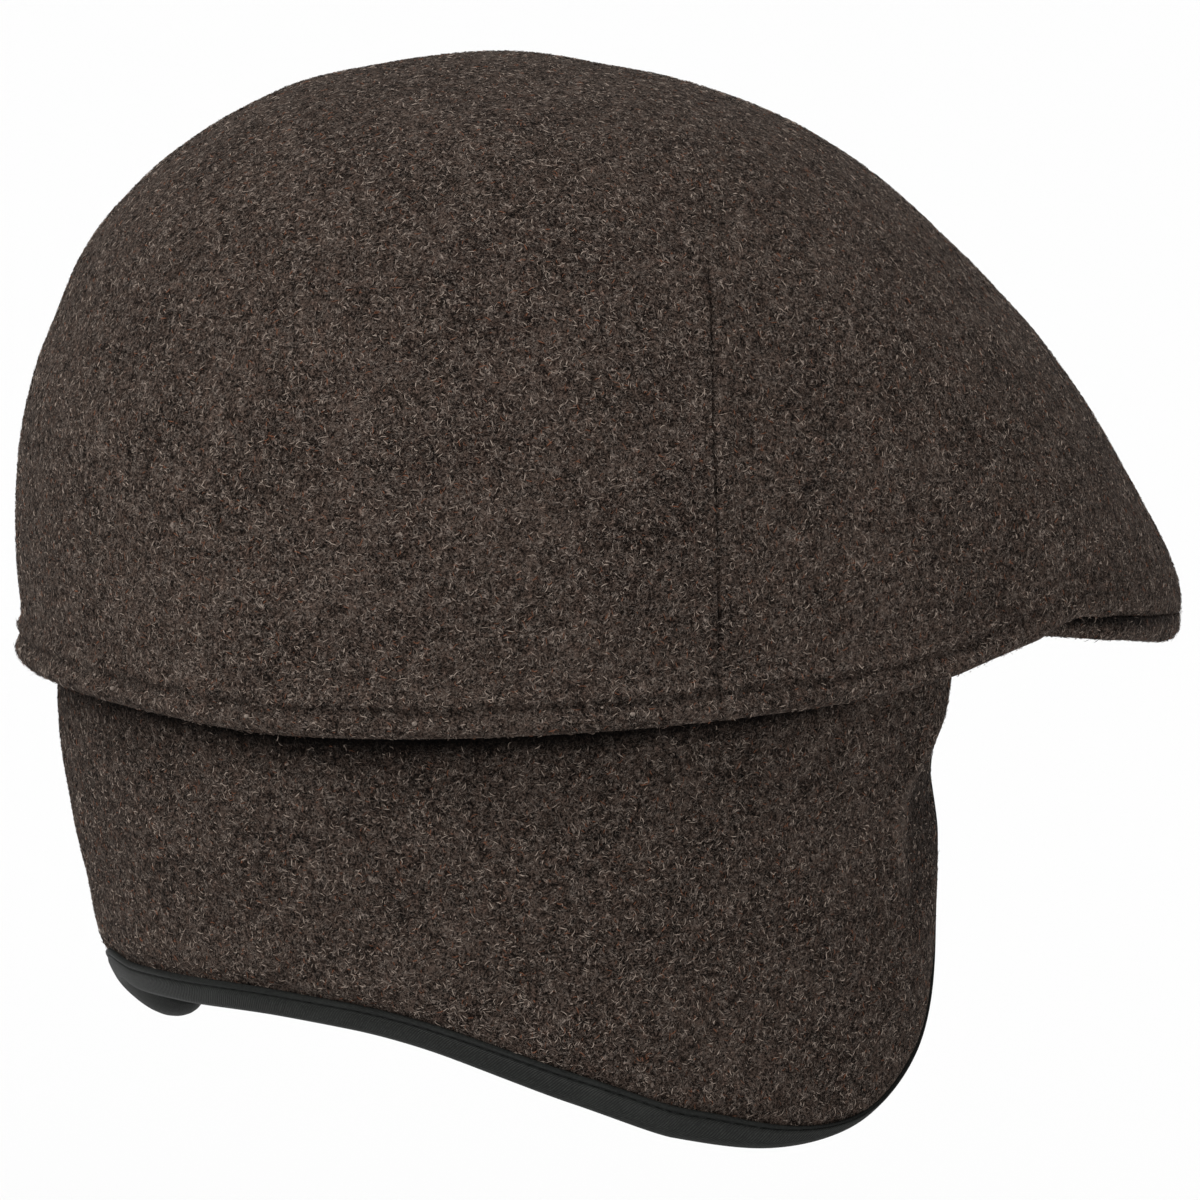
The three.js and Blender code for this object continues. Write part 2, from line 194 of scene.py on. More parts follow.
# The camera in metres and degrees, and lights as azimuth, height, spread and strength
CAMERA_AZIMUTH, CAMERA_ELEVATION = -25.0, 9.0
CAMERA_DISTANCE = 2.0
SENSOR_WIDTH = 36.0
FRAME_WIDTH = 0.2469
AIM_RIGHT, AIM_UP = 0.01008, 0.00967
FLOOR_HEIGHT, FLOOR_SIZE = -0.2, 60
LIGHTS = {"key": (-66, 53, 34, 2.6), "fill": (25, 20, 60, 0.3), "rim": (160, 40, 50, 0.5)}
SKY_STRENGTH = 0.42


def table(names, *rows):
    """Named columns from rows of numbers."""
    return dict(zip(names.split(), np.array(rows, float).T))


DOME_ROWS = table(
    "rise back front side",
    (0.996, 0.11, 0.058, 0.1),
    (0.98, 0.255, 0.142, 0.235),
    (0.95, 0.41, 0.254, 0.39),
    (0.9, 0.554, 0.365, 0.538),
    (0.84, 0.672, 0.459, 0.648),
    (0.76, 0.782, 0.552, 0.757),
    (0.67, 0.866, 0.636, 0.848),
    (0.57, 0.922, 0.718, 0.914),
    (0.47, 0.969, 0.79, 0.957),
    (0.36, 0.992, 0.855, 0.985),
    (0.25, 1.0, 0.912, 0.999),
    (0.14, 0.998, 0.966, 1.0),
    (0.075, 0.992, 0.99, 0.992),
)
HEM_ROWS = table(
    "turn lift",
    (50, 1.32),
    (56, 1.22),
    (61, 0.95),
    (66, 0.58),
    (75, 0.26),
    (88, 0.08),
    (108, -0.08),
    (130, -0.26),
    (143, -0.3),
    (160, -0.1),
    (180, 0),
)
HEM_ROLL_ROWS = table(
    "height inset over_peak over_tip",
    (1.32, 0.03, 0.08, 0.34),
    (1.0, 0.3, 0.04, 0.22),
    (0.72, 0.0, 0.02, 0.11),
    (0.46, -0.2, 0.04, 0.03),
    (0.16, 0.12, 0.34, 0.06),
    (0.0, 0.75, 0.85, 0.14),
)
SEAM_ROWS = table(
    "rise turn",
    (0.0, 88.1),
    (0.37, 87.9),
    (0.53, 86.8),
    (0.63, 85.0),
    (0.73, 82.4),
    (0.81, 78.0),
    (0.87, 71.5),
    (1.0, 62.0),
)
LIP_ROWS = table(
    "inset height",
    (0.62, 0.0),
    (0.28, 0.1),
    (0.08, 0.32),
    (0.0, 0.62),
    (0.01, 0.9),
    (0.1, 1.0),
)
FLAP_EDGE_ROWS = table(
    "turn depth",
    (0, 0.7),
    (0.1, 0.692),
    (0.25, 0.69),
    (0.41, 0.74),
    (0.56, 0.852),
    (0.66, 0.94),
    (0.745, 0.99),
    (0.82, 0.975),
    (0.885, 0.895),
    (0.94, 0.775),
    (0.98, 0.64),
    (1.0, 0.5),
    (1.0, 0.33),
    (1.0, 0.16),
    (1.0, 0.01),
)
CURL_ROWS = table(
    "depth curl roll",
    (-0.1, 0.0, 1.2),
    (0.03, 0.0, 1.5),
    (0.15, 0.05, 1.8),
    (0.22, 0.6, 1.5),
    (0.3, 1.3, 0.8),
    (0.45, 1.48, 0.1),
    (0.75, 1.34, 0.3),
    (1.0, 1.0, 0.5),
)
# The soft fold's turn from the nape and its strength, at depths under the hem
FOLD_ROWS = table(
    "depth turn force",
    (6, 130.5, 0.0),
    (12, 128.8, 0.1),
    (17, 127.0, 0.5),
    (21, 123.2, 0.9),
    (27, 119.9, 1.0),
    (35, 119.1, 0.9),
    (44, 119.8, 0.6),
    (54, 121.0, 0.25),
    (66, 122.0, 0.0),
)


def through(keys, values, at):
    """Smooth values through rows of values at rising keys."""
    slopes = np.empty_like(values)
    wide = (keys[2:] - keys[:-2]).reshape((-1,) + (1,) * (values.ndim - 1))
    slopes[1:-1] = (values[2:] - values[:-2]) / wide
    slopes[0] = (values[1] - values[0]) / (keys[1] - keys[0])
    slopes[-1] = (values[-1] - values[-2]) / (keys[-1] - keys[-2])
    at = np.clip(np.asarray(at, float), keys[0], keys[-1])
    low = np.clip(np.searchsorted(keys, at, side="right") - 1, 0, len(keys) - 2)
    span = keys[low + 1] - keys[low]
    share = (at - keys[low]) / span
    if values.ndim > 1:
        span = span.reshape((-1,) + (1,) * (values.ndim - 1))
        share = share.reshape(span.shape)
    square, cube = share**2, share**3
    return (
        (2 * cube - 3 * square + 1) * values[low]
        + (cube - 2 * square + share) * span * slopes[low]
        + (3 * square - 2 * cube) * values[low + 1]
        + (cube - square) * span * slopes[low + 1]
    )


def read(rows, key, value, at):
    return through(rows[key], rows[value], at)


def ease(low, high, at):
    """From 0 at low to 1 at high, level at both ends."""
    share = np.clip((at - low) / (high - low), 0, 1)
    return share * share * (3 - 2 * share)


def mix(first, second, share):
    return first + (second - first) * share


def peaked(distance, width):
    """1 at no distance, dying away over the width."""
    return np.exp(-((distance / width) ** 2))


def on_oval(turn, oval, height):
    """Places on an outline at turns from the front."""
    back, front, side = oval
    along, across = np.cos(np.radians(turn)), np.sin(np.radians(turn))
    reach = np.where(along >= 0, front, back)
    return np.stack(
        np.broadcast_arrays(CROSS_LINE + reach * along, side * across, height), -1)


def inset(oval, by):
    return tuple(reach - by for reach in oval)


def from_front(turn):
    return np.degrees(np.arccos(np.cos(np.radians(turn))))


def past_peak(turn, start, end):
    return ease(PEAK_HALF_ANGLE + start, PEAK_HALF_ANGLE + end, from_front(turn))


def peak_top(x):
    return PEAK_TIP_TOP + (CROSS_LINE + CROWN[1] - x) * PEAK_SLOPE


def peak_bottom(x):
    to_root = (CROSS_LINE + CROWN[1] - x) / (CROWN[1] - OPENING[1])
    thickness = mix(PEAK_FRONT_THICKNESS, PEAK_ROOT_THICKNESS, to_root)
    return peak_top(x) - np.maximum(thickness, PEAK_ROOT_THICKNESS)


def hem_line(turn):
    free = HEM_WAVE * read(HEM_ROWS, "turn", "lift", from_front(turn))
    free = free + HEM_LEAN * np.sin(np.radians(turn))
    on_peak = peak_top(on_oval(turn, CROWN, 0)[..., 0]) + PEAK_CLEARANCE
    return mix(on_peak, free, past_peak(turn, -7, 2))


def ledge_line(turn, x):
    free = hem_line(turn) + LEDGE_LEVEL * HEM_DEPTH
    on_peak = np.maximum(peak_top(x) + CLEARANCE, free)
    return mix(on_peak, free, past_peak(turn, 1, 12))


def unit(vectors):
    return vectors / np.maximum(np.linalg.norm(vectors, axis=-1, keepdims=True), 1e-9)


def run_of(steps):
    """How far along a line each place is, from the steps between them."""
    return np.concatenate([[0], np.cumsum(steps)])


def row_runs(points):
    """How far along its row each place of a grid is."""
    steps = np.linalg.norm(np.diff(points, axis=1), axis=-1)
    return np.concatenate([np.zeros((len(points), 1)), np.cumsum(steps, axis=1)], 1)


def lay_of(points):
    """Unit normals of a grid of places, to the left of its rows seen down its columns."""
    along = np.gradient(points, axis=1)
    down = np.gradient(points, axis=0)
    return unit(np.cross(down, along))


def facing_out(points, shade, outward):
    """A grid and its shade, with their columns turned if its cells would face inwards."""
    if (lay_of(points) * outward).sum() < 0:
        return points[:, ::-1], shade[:, ::-1]
    return points, shade


def ripple(points, wavelength, seed):
    """Soft seeded waves from about -1 to 1 at each place."""
    at = points.reshape(-1, 3) / wavelength + seed * 17.3
    waves = [noise.noise(Vector(place)) for place in at]
    return np.array(waves).reshape(points.shape[:-1]) * 1.6


def uneven(points, rows):
    """Soft waves of several sizes, added up."""
    return sum(height * ripple(points, length, seed) for height, length, seed in rows)


# The forms


def crown_turns():
    """Turns round the crown, close together beside the dart seams."""
    fine = np.linspace(-180, 180, 7201)
    density = 1 + SEAM_DENSITY * peaked(np.abs(np.abs(fine) - SEAM_TURN), SEAM_DENSITY_WIDTH)
    total = run_of((density[1:] + density[:-1]) / 2)
    return np.interp(np.linspace(0, total[-1], CROWN_COLUMNS), total, fine)


def seam_turns(turns, rise):
    """The same turns, drawn aside so that one column follows the dart seam."""
    aside = read(SEAM_ROWS, "rise", "turn", rise) - SEAM_TURN
    reach = np.clip(np.abs(np.abs(turns) - SEAM_TURN) / SEAM_WARP, 0, 1)
    return turns + np.sign(turns) * aside * np.cos(reach * np.pi / 2) ** 2


def crown_form():
    """The turns, how far down each row is, where dome and roll end, and all places."""
    turns = crown_turns()
    top = np.broadcast_to([CROSS_LINE, 0, CROWN_HEIGHT], (len(turns), 3))
    rings = [top]
    for rise, back, front, side in zip(*DOME_ROWS.values()):
        oval = (back * CROWN[0], front * CROWN[1], side * CROWN[2])
        turn = seam_turns(turns, rise)
        height = rise * CROWN_HEIGHT + hem_line(turn) * (1 - rise) ** 3
        rings.append(on_oval(turn, oval, height))
    dome_rings = len(rings)
    creased, grooved = past_peak(turns, *CREASED), past_peak(turns, *GROOVED)
    for height, inward, over_peak, over_tip in zip(*HEM_ROLL_ROWS.values()):
        inward = mix(mix(over_tip, over_peak, creased), inward, grooved)
        oval = inset(CROWN, inward * FELT_WALL)
        rings.append(on_oval(turns, oval, hem_line(turns) + height * HEM_DEPTH))
    roll_rings = len(rings)
    outer = on_oval(turns, inset(CROWN, LEDGE_FOLD * FELT_WALL), 0)
    inner = on_oval(turns, inset(OPENING, -CLEARANCE), 0)
    for share in (0, 0.5, 1):
        place = mix(outer, inner, share)
        place[:, 2] = ledge_line(turns, place[:, 0])
        rings.append(place)
    rings = np.array(rings)
    steps = np.linalg.norm(np.diff(rings, axis=0), axis=-1).mean(1)
    keys = run_of(steps)
    dome_end, roll_end = keys[dome_rings - 1], keys[roll_rings - 1]
    rows = np.concatenate([
        np.linspace(TOP_HOLE, dome_end, CROWN_ROWS[0], endpoint=False),
        np.linspace(dome_end, roll_end, CROWN_ROWS[1], endpoint=False),
        np.linspace(roll_end, keys[-1], CROWN_ROWS[2]),
    ])
    points = through(keys, rings, rows)
    points[:, -1] = points[:, 0]
    flat = ease(keys[2], 0, rows)[:, None]
    level = CROWN_HEIGHT - (rows / keys[2])[:, None] ** 2 * (CROWN_HEIGHT - rings[2][:, 2])
    points[..., 2] = mix(points[..., 2], level, flat)
    return turns, rows, dome_end, roll_end, points


def crown_relief(turns, rows, dome_end, roll_end, points):
    """How far the felt stands out or in at each place of the crown, and its painted shade and
    highlight.
    """
    run = row_runs(points)
    drop = rows[:, None] / dome_end
    in_force = ease(*SEAM_STARTS, drop) * mix(SEAM_FAINT, 1, ease(*SEAM_DEEPENS, drop))
    in_force = in_force * ease(roll_end + 3, roll_end - 3, rows[:, None])
    relief = np.zeros(points.shape[:-1])
    height = (points[..., 2] - hem_line(turns)) / HEM_DEPTH
    # Painted shade in the groove between the dome and the hem's roll, and a painted highlight
    # along the roll
    shade = GROOVE_SHADE * peaked(height - 1, GROOVE_SHADE_WIDTH)
    shade = shade - ROLL_HIGHLIGHT * peaked(height - ROLL_MIDDLE, ROLL_HIGHLIGHT_WIDTH)
    shade = shade * past_peak(turns, *GROOVED)
    for side in (-1, 1):
        at = np.array([np.interp(side * SEAM_TURN, turns, row) for row in run])
        away = np.abs(run - at[:, None])
        groove = -SEAM_DEPTH * peaked(away, SEAM_HALF_WIDTH)
        swell = SEAM_SWELL * peaked(away - SWELL_OFFSET, SWELL_WIDTH)
        stitched = -ROW_DEPTH * peaked(away - ROW_OFFSET, ROW_HALF_WIDTH)
        relief += (groove + swell + stitched) * in_force
        # Painted shade along the dart seam's groove
        shade = np.maximum(shade, SEAM_SHADE * peaked(away, SEAM_SHADE_WIDTH) * in_force)
    for turn in BOTH_KNOT_TURNS:
        knot = hem_place(turn, KNOT_RISE)
        away = np.linalg.norm(points - knot, axis=-1)
        relief -= KNOT_DIMPLE * peaked(away, KNOT_DIMPLE_WIDTH)
    free = ease(dome_end + 2, dome_end - 18, rows[:, None])
    relief += free * uneven(points, DOME_WAVES)
    roll = ease(dome_end - 4, dome_end + 4, rows[:, None])
    roll = roll * ease(roll_end, roll_end - 4, rows[:, None])
    relief += roll * uneven(points, HEM_WAVES)
    return relief, shade


def hem_place(turn, rise):
    """A place on the hem's roll, at a share of its height."""
    oval = inset(CROWN, -0.08 * FELT_WALL)
    turn = np.asarray(turn, float)
    return on_oval(turn, oval, hem_line(turn) + rise * HEM_DEPTH)


def peak_form():
    """The peak's places round its section, and the painted shadow on its felt under the crown's
    edge.
    """
    turns = np.linspace(-PEAK_HALF_ANGLE, PEAK_HALF_ANGLE, PEAK_COLUMNS)
    tuck = past_peak(turns, *TUCKED)
    edge = np.stack([
        on_oval(turn, inset(CROWN, mix(PEAK_EDGE_INSET, PEAK_TUCK, share)), 0.0)
        for turn, share in zip(turns, tuck)])
    root = on_oval(turns, inset(OPENING, -2 * CLEARANCE), 0.0)
    depth = np.linalg.norm(edge - root, axis=-1)
    lip = peak_top(edge[:, 0]) - peak_bottom(edge[:, 0])
    shares = [np.zeros_like(depth), np.full_like(depth, 0.3), np.full_like(depth, 0.6)]
    heights = [0.0, 0.0, 0.0]
    for inward, height in zip(*LIP_ROWS.values()):
        shares.append(1 - inward * lip / depth)
        heights.append(height)
    shares += [np.full_like(depth, 0.6), np.full_like(depth, 0.3), np.zeros_like(depth)]
    heights += [1.0, 1.0, 1.0]
    profile = []
    for share, height in zip(shares, heights):
        place = mix(root, edge, share[:, None])
        x = place[:, 0]
        place[:, 2] = mix(peak_bottom(x), peak_top(x), height)
        profile.append(place)
    profile = np.array(profile)
    steps = np.linalg.norm(np.diff(profile, axis=0), axis=-1).mean(1)
    keys = run_of(steps)
    first, last = keys[3], keys[2 + len(LIP_ROWS["height"])]
    rows = np.concatenate([
        np.linspace(0, first, PEAK_ROWS[0], endpoint=False),
        np.linspace(first, last, PEAK_ROWS[1], endpoint=False),
        np.linspace(last, keys[-1], PEAK_ROWS[2]),
    ])
    points = through(keys, profile, rows)
    below = hem_line(turns) - points[..., 2]
    # Painted shadow under the crown's edge, faint near the tip and full towards the peak's corners
    creased = PEAK_SHADE * ease(*PEAK_SHADE_TURNS, np.abs(turns))
    return points, creased * ease(PEAK_SHADE_REACH, 0.5, below)


def on_flap(turn, depth):
    """The earflap's outer face at turns from the nape and depths under the hem."""
    away = np.abs(turn)
    front = 180 - turn
    place = on_oval(front, OPENING, 0.0)
    tangent = on_oval(front - 0.5, OPENING, 0.0) - on_oval(front + 0.5, OPENING, 0.0)
    outward = np.cross([0, 0, 1.0], tangent)
    outward = unit(outward)
    to_ear = ease(EAR_FROM, EAR_TO, away)
    reach = mix(FLAP_EDGE_ROWS["depth"][0], 1, to_ear) * EAR_DEPTH
    hang = np.maximum(depth, 0) / reach
    share = depth / EAR_DEPTH
    past_curl = np.maximum(away - FLAP_HALF_ANGLE + CURL_ANGLE, 0) / CURL_ANGLE
    past_roll = np.maximum(away - FLAP_HALF_ANGLE + ROLL_ANGLE, 0) / ROLL_ANGLE
    inward = mix(NAPE_TAPER, EAR_TAPER, to_ear) * hang**TAPER_POWER
    inward = inward + FRONT_CURL * read(CURL_ROWS, "depth", "curl", share) * past_curl**2
    inward = inward + FRONT_ROLL * read(CURL_ROWS, "depth", "roll", share) * past_roll**2
    place = place - outward * inward[..., None]
    place[..., 2] = hem_line(front) * np.maximum(1 - hang, 0) - depth
    return place


def flap_lay(turn, depth):
    """The felt's outward direction, and how long a degree of turn is."""
    along = on_flap(turn + 0.5, depth) - on_flap(turn - 0.5, depth)
    drop = on_flap(turn, depth + 0.5) - on_flap(turn, depth - 0.5)
    outward = np.cross(along, drop)
    outward = unit(outward)
    return outward, np.linalg.norm(along, axis=-1)


def flap_edge():
    """The free edge's turns and depths at even shares of its length."""
    arc = math.radians((OPENING[2] + OPENING[0]) / 2)
    knots = np.stack([
        FLAP_EDGE_ROWS["turn"] * FLAP_HALF_ANGLE * arc,
        FLAP_EDGE_ROWS["depth"] * EAR_DEPTH,
    ], -1)
    fine = np.linspace(0, len(knots) - 1, 1401)
    line = through(np.arange(len(knots), dtype=float), knots, fine)
    steps = np.linalg.norm(np.diff(line, axis=0), axis=-1)
    run = run_of(steps)
    return run / run[-1], line[:, 0] / arc, line[:, 1]


EDGE_SHARES, EDGE_TURNS, EDGE_DEPTHS = flap_edge()


def edge_at(share):
    """The free edge's turn and depth at shares from one front end to the other."""
    along = np.minimum(np.abs(share), 1)
    turn = np.interp(along, EDGE_SHARES, EDGE_TURNS)
    depth = np.interp(along, EDGE_SHARES, EDGE_DEPTHS)
    far = np.clip((turn - FAR_SAG_ANGLE) / FAR_SAG_HALF_ANGLE, -1, 1)
    sag = np.where(share > 0, FAR_SAG * np.cos(far * np.pi / 2) ** 2, 0)
    return turn * np.sign(share), depth + sag


def leaf_width(shares):
    """The outer leaf's width at shares of the edge, as a share of its full width."""
    along = np.abs(shares)
    narrow = ease(NARROW_FROM, NARROW_TO, along) * ease(WIDE_TO, WIDE_FROM, along)
    return mix(1, NARROWEST, narrow)


def flap_form():
    """The earflap's places on its outer face, their outward directions and its painted shade and
    highlight.
    """
    shares = np.linspace(-1, 1, FLAP_COLUMNS)[None, :]
    down = np.linspace(0, 1, FLAP_ROWS)[:, None]
    along = np.abs(shares)
    top = FLAP_HALF_ANGLE * (along + COLUMN_SPREAD * (along - along**4)) * np.sign(shares)
    edge_turn, edge_depth = edge_at(shares)
    turn = mix(top, edge_turn, down)
    depth = mix(-FLAP_TUCK, edge_depth, down)
    points = on_flap(turn, depth)
    outward, _ = flap_lay(turn, depth)
    to_edge = (1 - down) * (edge_depth + FLAP_TUCK)
    relief, shade = flap_relief(points, turn, depth, down)
    from_edge = to_edge / leaf_width(shares)
    puff = TAPE_PUFF * ease(PUFF_START, PUFF_FULL, from_edge) * ease(PUFF_END, PUFF_LEVEL, to_edge)
    relief = relief + puff
    return points + outward * relief[..., None], outward, shade


def flap_relief(points, turn, depth, down):
    """How far the felt stands out or in at each place of the earflap, and its painted shade and
    highlight.
    """
    force = read(FOLD_ROWS, "depth", "force", depth)
    aside = (np.abs(turn) - read(FOLD_ROWS, "depth", "turn", depth)) * DEGREE
    ahead = ease(0, 1.6 * FOLD_WIDTH, aside)
    ridge = FOLD_HEIGHT * peaked(aside, FOLD_WIDTH) - FOLD_HOLLOW * ahead
    behind = 0.5 * FOLD_HOLLOW * peaked(aside + 2.4 * FOLD_WIDTH, 1.3 * FOLD_WIDTH)
    free = ease(0.05, 0.3, down) * ease(0.96, 0.82, down)
    below = hem_line(180 - turn) - points[..., 2]
    reach = HEM_SHADE_REACH + SIDE_SHADE_REACH * peaked(np.abs(turn) - SIDE_TURN, SIDE_WIDTH)
    # Painted shadow under the hem, over a slight painted shade on all the earflap
    shade = mix(FLAP_SHADE, HEM_SHADE, ease(reach, 1.2, below))
    # Painted shade ahead of the fold's ridge, and a painted highlight along the ridge
    fold_shade_and_highlight = FOLD_SHADE * ahead - FOLD_HIGHLIGHT * peaked(aside, FOLD_HIGHLIGHT_WIDTH)
    shade = shade + fold_shade_and_highlight * force * (1 - shade)
    fold = (ridge - behind) * force * ease(0.98, 0.88, down)
    return fold + free * uneven(points, FLAP_WAVES), shade


def tape_section():
    """The tape's section from its outer free edge round the felt's edge to its inner free
    edge, and back inside: how far out from the felt, and how far up."""
    near, far = TAPE_CLEARANCE, -FELT_WALL - TAPE_CLEARANCE
    middle = (near + far) / 2
    inside = (near - far) / 2
    half = inside + TAPE_WALL
    bottom = -TAPE_CLEARANCE - TAPE_WALL
    top = BINDING_WIDTH + bottom
    outer = [(half + proud, top - below) for below, proud in TAPE_LEAF_ROWS]
    turn_up = outer[-1][1]
    for angle in TAPE_FOLD_ANGLES:
        a = math.radians(angle)
        outer.append((half * math.cos(a), turn_up + (turn_up - bottom) * math.sin(a)))
    inner = [
        (inside - 0.15, top - 0.05),
        (inside, top - 0.5),
        (inside, top / 2),
        (inside, -TAPE_CLEARANCE + 0.3),
        (inside - 0.5, -TAPE_CLEARANCE),
    ]
    section = [(middle + out, up) for out, up in outer]
    section.append((middle, bottom))
    section += [(middle - out, up) for out, up in reversed(outer)]
    section += [(middle - out, up) for out, up in inner]
    section += [(middle + out, up) for out, up in reversed(inner)]
    return section + section[:1]


def over_flap(turn, depth, out):
    """Places that stand out from the earflap's outer face."""
    outward, _ = flap_lay(turn, depth)
    return on_flap(turn, depth) + outward * np.asarray(out)[..., None]


def along_edge(shares):
    """Turn, depth, the edge's direction and a degree's length at shares of the edge."""
    step = 0.003
    turn, depth = edge_at(shares)
    turn_before, depth_before = edge_at(np.maximum(shares - step, -1))
    turn_after, depth_after = edge_at(np.minimum(shares + step, 1))
    _, per_degree = flap_lay(turn, depth)
    ahead = (turn_after - turn_before) * per_degree
    down = depth_after - depth_before
    length = np.hypot(ahead, down)
    return turn, depth, ahead / length, down / length, per_degree


def tape_place(shares, out, up):
    """Places on the tape: out from the felt, and up from its edge."""
    turn, depth, ahead, down, per_degree = along_edge(shares)
    return over_flap(turn + up * down / per_degree, depth - up * ahead, out)


def narrowed(shares, out, up):
    """The tape's height above its fold, less on the outer leaf near the front."""
    outer = np.asarray(out) > -FELT_WALL / 2
    return up * np.where(outer & (up > 0), leaf_width(shares), 1.0)


def binding_form():
    shares = np.linspace(-1, 1, TAPE_COLUMNS)
    rows = []
    for out, up in tape_section():
        height = narrowed(shares, out, up)
        rows.append(tape_place(shares, np.full_like(shares, out), height))
    return np.array(rows)


# Meshes


def set_mode(name):
    bpy.ops.object.mode_set(mode=name)


def sheet_from(name, points, closed=False, shade=None):
    """A mesh grid whose vertices take the places in points, and their shades."""
    rows, columns = points.shape[:2]
    bpy.ops.mesh.primitive_grid_add(x_subdivisions=columns - 1, y_subdivisions=rows - 1, size=1)
    piece = bpy.context.object
    piece.name = piece.data.name = name
    flat = np.empty(len(piece.data.vertices) * 3)
    piece.data.vertices.foreach_get("co", flat)
    flat = flat.reshape(-1, 3)
    column = np.rint((flat[:, 0] + 0.5) * (columns - 1)).astype(int)
    row = np.rint((0.5 - flat[:, 1]) * (rows - 1)).astype(int)
    piece.data.vertices.foreach_set("co", (points[row, column] * METRE).ravel())
    # The painted shade and highlight, kept on the mesh for the felt to read
    if shade is not None:
        stored = piece.data.attributes.new("shade", "FLOAT", "POINT")
        stored.data.foreach_set("value", shade[row, column].astype(np.float32))
    piece.data.update()
    set_mode("EDIT")
    bpy.ops.mesh.select_all(action="SELECT")
    bpy.ops.mesh.remove_doubles(threshold=WELD * METRE)
    if closed:
        bpy.ops.mesh.fill_holes(sides=0)
        bpy.ops.mesh.select_all(action="SELECT")
        bpy.ops.mesh.normals_make_consistent(inside=False)
    set_mode("OBJECT")
    return piece


def face_outwards(piece):
    """Turns a sheet's faces so that most of them look away from the head's middle."""
    middle = Vector((CROSS_LINE * METRE, 0, 0))
    looks = sum((f.center - middle).dot(f.normal) * f.area for f in piece.data.polygons)
    if looks < 0:
        set_mode("EDIT")
        bpy.ops.mesh.select_all(action="SELECT")
        bpy.ops.mesh.flip_normals()
        set_mode("OBJECT")


def close_top(piece):
    """Fills the small hole at the crown's top."""
    set_mode("EDIT")
    bpy.ops.mesh.select_all(action="DESELECT")
    set_mode("OBJECT")
    for vertex in piece.data.vertices:
        away = math.hypot(vertex.co.x - CROSS_LINE * METRE, vertex.co.y)
        high = vertex.co.z > 0.9 * CROWN_HEIGHT * METRE
        vertex.select = high and away < TOP_HOLE_REACH * METRE
    set_mode("EDIT")
    bpy.ops.mesh.select_mode(type="VERT")
    bpy.ops.mesh.merge(type="CENTER")
    set_mode("OBJECT")


def thicken(piece, wall):
    """Gives a sheet its wall, inwards from the face that shows."""
    solid = piece.modifiers.new("wall", "SOLIDIFY")
    solid.thickness = wall * METRE
    solid.offset = -1
    bpy.ops.object.modifier_apply(modifier=solid.name)


def smooth(piece):
    bpy.ops.object.select_all(action="DESELECT")
    piece.select_set(True)
    bpy.context.view_layer.objects.active = piece
    bpy.ops.object.shade_smooth_by_angle(angle=math.radians(SMOOTH_ANGLE))


def settle(piece, slot, *nodes):
    """The piece rides on the cap, and the model's parts that it stands in for are hidden."""
    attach(piece, "root")
    if nodes:
        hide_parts(*nodes)
    return piece


def mesh_from(name, vertices, faces, materials, slots):
    """A mesh from arrays. faces is a list of arrays with one face in each row."""
    mesh = bpy.data.meshes.new(name)
    sizes = np.concatenate([np.full(len(f), f.shape[1]) for f in faces])
    loops = np.concatenate([f.ravel() for f in faces])
    starts = run_of(sizes)[:-1]
    mesh.vertices.add(len(vertices))
    mesh.loops.add(len(loops))
    mesh.polygons.add(len(sizes))
    mesh.vertices.foreach_set("co", (vertices * METRE).astype(np.float32).ravel())
    mesh.polygons.foreach_set("loop_start", starts.astype(np.int32))
    mesh.loops.foreach_set("vertex_index", loops.astype(np.int32))
    for material in materials:
        mesh.materials.append(material)
    mesh.polygons.foreach_set("material_index", slots.astype(np.int32))
    mesh.polygons.foreach_set("use_smooth", np.ones(len(sizes), bool))
    mesh.update(calc_edges=True)
    piece = bpy.data.objects.new(name, mesh)
    bpy.context.scene.collection.objects.link(piece)
    return piece


# Materials


class Nodes:
    """A short way to lay out a material's nodes."""

    def __init__(self, name):
        self.material = bpy.data.materials.new(name)
        self.material.use_nodes = True
        self.tree = self.material.node_tree
        self.tree.nodes.clear()

    def add(self, kind, inputs=(), **settings):
        made = self.tree.nodes.new("ShaderNode" + kind)
        for name, value in settings.items():
            setattr(made, name, value)
        for key, value in dict(inputs).items():
            socket = made.inputs[key]
            if isinstance(value, bpy.types.NodeSocket):
                self.tree.links.new(value, socket)
            else:
                socket.default_value = value
        return made

    def noise(self, at, scale, detail=2.0, roughness=0.5, warp=0.0):
        made = self.add("TexNoise", {
            "Vector": at, "Scale": scale, "Detail": detail, "Roughness": roughness,
            "Distortion": warp})
        return made.outputs["Fac"]

    def moved(self, at, by):
        return self.add("VectorMath", {0: at, 1: by}, operation="ADD").outputs[0]

    def maths(self, operation, first, second=0.0, clamp=False):
        made = self.add("Math", {0: first, 1: second}, operation=operation, use_clamp=clamp)
        return made.outputs[0]

    def range(self, value, low, high, start=0.0, end=1.0):
        made = self.add("MapRange", {
            "Value": value, "From Min": low, "From Max": high, "To Min": start, "To Max": end})
        return made.outputs["Result"]

    def blend(self, share, first, second, way="MIX"):
        made = self.add("Mix", {0: share, 6: first, 7: second}, data_type="RGBA", blend_type=way)
        return made.outputs[2]

    def finish(self, colour, height, depth, strength, **shader):
        bump = self.add("Bump", {"Height": height, "Distance": depth, "Strength": strength})
        inputs = {"Base Color": colour, "Normal": bump.outputs[0]}
        inputs.update({name.replace("_", " "): value for name, value in shader.items()})
        surface = self.add("BsdfPrincipled", inputs)
        self.add("OutputMaterial", {"Surface": surface.outputs[0]})
        return self.material


def linear(red, green, blue):
    """A screen colour from 0 to 255 as the light that it stands for."""
    values = []
    for screen in (red, green, blue):
        share = screen / 255
        values.append(share / 12.92 if share <= 0.04045 else ((share + 0.055) / 1.055) ** 2.4)
    return (*values, 1.0)


